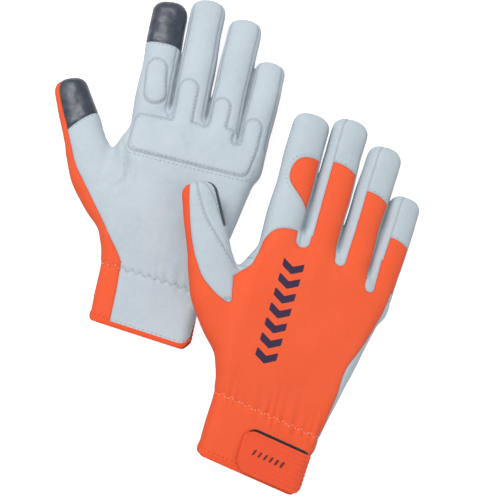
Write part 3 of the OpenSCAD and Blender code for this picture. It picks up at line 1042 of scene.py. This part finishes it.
def strap_pieces(side):
    tab = strip_piece("_strap", side, [strip(STRAP_START, STRAP_END, STRAP_HALF, *TAB_LAYER,
                                             8.0, 7.0, ribs=0.3, cells=(64, 60))], WEBBING)
    marks = strip_piece("_strap_marks", side, [
        strip(x, x + 1.7, 2.1, *MARK_LAYER, 0.3, 0.3, 0.3, STRAP_MIDDLE + 1.0, 0.35, 0, (2, 4))
        for x in np.arange(MARKS) * MARK_STEP + MARK_START], MARK_INK)
    start, end = placed(side, over_cuff(np.array(STRAP_BLEND), STRAP_MIDDLE, TAB_LAYER[0]))
    for piece in (tab, marks):
        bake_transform(piece)
    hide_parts(side + "_strap_tab")
    hooks = strip(STRAP_START + 3, 11.0, STRAP_HALF - 3, *HOOK_LAYER, 5.0, 5.0, 5.0)
    loops = strip(STRAP_START + 2, STRAP_END, STRAP_HALF + 0.2, *LOOP_LAYER, 7.0, 7.0, 3.0,
                  STRAP_MIDDLE + 1.5)
    for name, patch, material, body, slot in (("_hooks", hooks, HOOK, "_strap", "hook_patch"),
                                              ("_loops", loops, LOOP, "_hand", "loop_patch")):
        piece = strip_piece(name, side, [patch], material)
        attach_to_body(piece, side + body)
        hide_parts(f"{side}_{slot}")


BAND_SPAN = (-13.0, -3.0)      # elastic band, along the glove
BAND_DEPTHS = (2.3, 3.1)       # its outer and inner face, below the fabric's inside


def wrist_band(side):
    """The elastic inside the wrist."""
    rows, cols = 8, 96
    turn = np.linspace(0, 2 * math.pi, cols, endpoint=False)
    rings = []
    for depth, way in ((BAND_DEPTHS[1], 1), (BAND_DEPTHS[0], -1)):
        for v in np.linspace(*BAND_SPAN, rows + 1)[::way]:
            x0, x1, b = (curve(v, PALM, i) for i in (1, 2, 3))
            r = b - SKIN - depth
            x = (x0 + x1) / 2 + np.clip(np.cos(turn) * 3, -1, 1) * ((x1 - x0) / 2 - b)
            rings.append(np.stack([x + r * np.cos(turn), np.full(cols, v), r * np.sin(turn)], 1))
    p = np.concatenate(rings)
    number = np.arange(len(p)).reshape(-1, cols)
    faces = turned(tube(np.concatenate([number, number[:1]])), side == "left")
    band = make(side + "_elastic", side, p, faces, p, ELASTIC)
    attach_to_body(band, side + "_hand")
    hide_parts(side + "_wrist_elastic")


# ---- stitches ----
def contour(points, tris, values):
    """Lines along the surface where the values are 0, each an array of points."""
    values = np.where(np.abs(values) < 1e-6, 1e-6, values)
    v = values[tris]
    tris = tris[(v.min(1) < 0) & (v.max(1) > 0)]
    spots, joins = {}, {}
    for tri in tris:
        keys = []
        for a, b in ((tri[0], tri[1]), (tri[1], tri[2]), (tri[2], tri[0])):
            if values[a] * values[b] < 0:
                key = (min(a, b), max(a, b))
                t = values[key[0]] / (values[key[0]] - values[key[1]])
                spots[key] = points[key[0]] * (1 - t) + points[key[1]] * t
                keys.append(key)
        joins.setdefault(keys[0], []).append(keys[1])
        joins.setdefault(keys[1], []).append(keys[0])
    lines = []
    starts = [k for k in joins if len(joins[k]) == 1] + list(joins)
    for start in starts:
        line, here = [], start
        while here in joins:
            line.append(spots[here])
            after = [k for k in joins.pop(here) if k in joins]
            if not after:
                break
            here = after[0]
        if len(line) > 3:
            lines.append(np.array(line))
    return lines


# A stitch: place along it as a share of its length, radius, height over the surface
STITCH = ((-0.5, 0.10, -0.22), (-0.36, 0.30, 0.06), (0.0, 0.34, 0.14), (0.36, 0.30, 0.06),
          (0.5, 0.10, -0.22))
STITCH_SIDES, STITCH_PITCH, STITCH_LENGTH = 6, 3.0, 2.0


def stitches(name, side, lines, tree, wall, material):
    """A row of thread stitches along lines on the surface."""
    points, rests, normals, rest_of = [], [], wall[1], wall[3]
    turn = np.arange(STITCH_SIDES)[:, None] * 2 * math.pi / STITCH_SIDES
    for line in lines:
        far = np.concatenate([[0], np.cumsum(np.linalg.norm(np.diff(line, axis=0), axis=1))])
        count = int(far[-1] // STITCH_PITCH)
        for k in range(count):
            middle = (k + 0.5) * far[-1] / count
            a, b = (np.array([np.interp(middle + e * STITCH_LENGTH, far, x) for x in line.T])
                    for e in (-0.5, 0.5))
            centre = (a + b) / 2
            index = tree.find(centre)[1]
            up, along = normals[index], unit(b - a)
            ring = np.cos(turn) * np.cross(up, along) + np.sin(turn) * up
            points += [centre + along * e * STITCH_LENGTH + up * rise + radius * ring
                       for e, radius, rise in STITCH]
            rests.append(rest_of[index])
    number = np.arange(len(STITCH) * STITCH_SIDES).reshape(-1, STITCH_SIDES)
    single = tube(number) + [number[0, ::-1].tolist(), number[-1].tolist()]
    faces = [[i + k * number.size for i in face] for k in range(len(rests)) for face in single]
    return make(name, side, np.concatenate(points), turned(faces, side == "right"),
                np.repeat(rests, number.size, 0), material)


def stitch_rows(rest, tris, panel, body):
    """Each row: name, values whose 0 line it follows, the triangles it lies on, thread."""
    u, v, w = rest[tris].mean(1).T
    pad, orange, hem = pad_field(rest), orange_field(rest), hem_distance(rest) - BINDING - 1.2
    below = np.isin(panel, ("front", "back", "cap")) & (v < 79) & (w < 0) & (body == "hand")
    yield "pad", pad - 1.7, panel == "pad", "grey"
    yield "pad_base", pad + 2.2, below, "grey"
    yield "touch", touch_field(rest) + 1.3, panel == "front", "grey"
    yield "inset", inset_distance(rest) + 2.3, panel == "back", "grey"
    yield "cap", orange + 1.5, (panel == "cap") & (v > 115), "grey"
    yield "hem_grey", hem, panel == "front", "grey"
    yield "hem_warm", hem, panel == "orange", "warm"
    yield "thumb", thumb_strip(rest) + 1.3, (panel == "back") & (u < -45), "grey"
    near = np.abs(v - elastic_line(u)) < 3
    yield "wrist_grey", wrist_zigzag(rest), near & (panel == "front"), "grey"
    yield "wrist_warm", wrist_zigzag(rest), near & (panel == "orange"), "pale"


# ---- build ----
FEWEST_FACES = 12      # smaller scraps of a panel are left out


def build_gloves():
    rest, tris, panel, body = build_panels()
    ends = seams(tris, panel)
    near = tree_of(np.concatenate([rest[ends[:, 0]], rest[ends[:, 1]], rest[ends].mean(1)]))
    seam = np.array([near.find(p)[2] for p in rest])
    normals = vertex_normals(rest, tris)
    outer = rest + normals * relief(rest, seam)[:, None]
    # The wall: outer face, its normals, inner face, rest places, distances from seam and gap,
    # which place the painted shade
    wall = (outer, vertex_normals(outer, tris), outer - normals * SKIN, rest,
            soil_distance(rest, seam), finger_gap(rest))
    tree = tree_of(outer)
    rows = []
    for name, values, where, kind in stitch_rows(rest, tris, panel, body):
        for part in np.unique(body[where]):
            lines = contour(outer, tris[where & (body == part)], values)
            if lines:
                rows.append((name, part, lines, kind))
    for side in PLACES:
        for part in np.unique(body):
            for kind in np.unique(panel[body == part]):
                faces = tris[(body == part) & (panel == kind)]
                if len(faces) < FEWEST_FACES:
                    continue
                material, slot = LOOKS[kind]
                piece = shell(f"{side}_{part}_{kind}", side, wall, faces, material)
                attach(piece, side, str(part))
                node = node_of(side, str(part), kind)
                if node:
                    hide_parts(node)
        for name, part, lines, kind in rows:
            material, slot = THREADS[kind]
            row = stitches(f"{side}_{part}_{name}_stitches", side, lines, tree, wall, material)
            attach(row, side, str(part))
        strap_pieces(side)
        wrist_band(side)


# ---- stage ----
CAMERA_PLACE = (45.9, -93.8, 492.4)    # mm
CAMERA_TURN = (10.0, 0.0, 13.0)        # degrees
CAMERA_ANGLE = 38.9                    # degrees across the picture
FLOOR_HALF = 4.0                       # half the floor's side, metres


def floor():
    m = bpy.data.materials.new("floor_white")
    m.use_nodes = True
    s = m.node_tree.nodes["Principled BSDF"]
    s.inputs["Base Color"].default_value = (0.5, 0.5, 0.5, 1)
    s.inputs["Roughness"].default_value = 1.0
    s.inputs["Specular IOR Level"].default_value = 0.0
    s.inputs["Emission Color"].default_value = (1, 1, 1, 1)
    s.inputs["Emission Strength"].default_value = 0.85
    mesh = bpy.data.meshes.new("floor")
    r = FLOOR_HALF
    mesh.from_pydata([(-r, -r, 0), (r, -r, 0), (r, r, 0), (-r, r, 0)], [], [(0, 1, 2, 3)])
    mesh.materials.append(m)
    obj = bpy.data.objects.new("floor", mesh)
    bpy.context.scene.collection.objects.link(obj)
    obj.visible_diffuse = False    # so that it doesn't light the gloves from below


def lamp(name, place, size, power):
    """A round lamp that looks at the middle of the frame."""
    light = bpy.data.lights.new(name, "AREA")
    light.shape, light.size, light.energy = "DISK", size, power
    obj = bpy.data.objects.new(name, light)
    obj.location = place
    obj.rotation_euler = (-Vector(place)).to_track_quat("-Z", "Y").to_euler()
    bpy.context.scene.collection.objects.link(obj)


def studio():
    scene = bpy.context.scene
    scene.view_settings.view_transform = "Standard"
    world = bpy.data.worlds.new("studio")
    scene.world = world
    world.use_nodes = True
    sky = world.node_tree.nodes["Background"]
    sky.inputs["Color"].default_value = (1, 1, 1, 1)
    sky.inputs["Strength"].default_value = 0.45
    lamp("key", (-0.45, 0.45, 1.0), 0.6, 9.0)
    lamp("fill", (0.7, -0.4, 0.9), 0.9, 3.0)
    camera = bpy.data.cameras.new("camera")
    camera.sensor_width = 36.0
    camera.angle = math.radians(CAMERA_ANGLE)
    camera.clip_start = 0.01
    obj = bpy.data.objects.new("camera", camera)
    obj.location = [x * MM for x in CAMERA_PLACE]
    obj.rotation_euler = [math.radians(a) for a in CAMERA_TURN]
    scene.collection.objects.link(obj)
    scene.camera = obj


build_gloves()
floor()
studio()
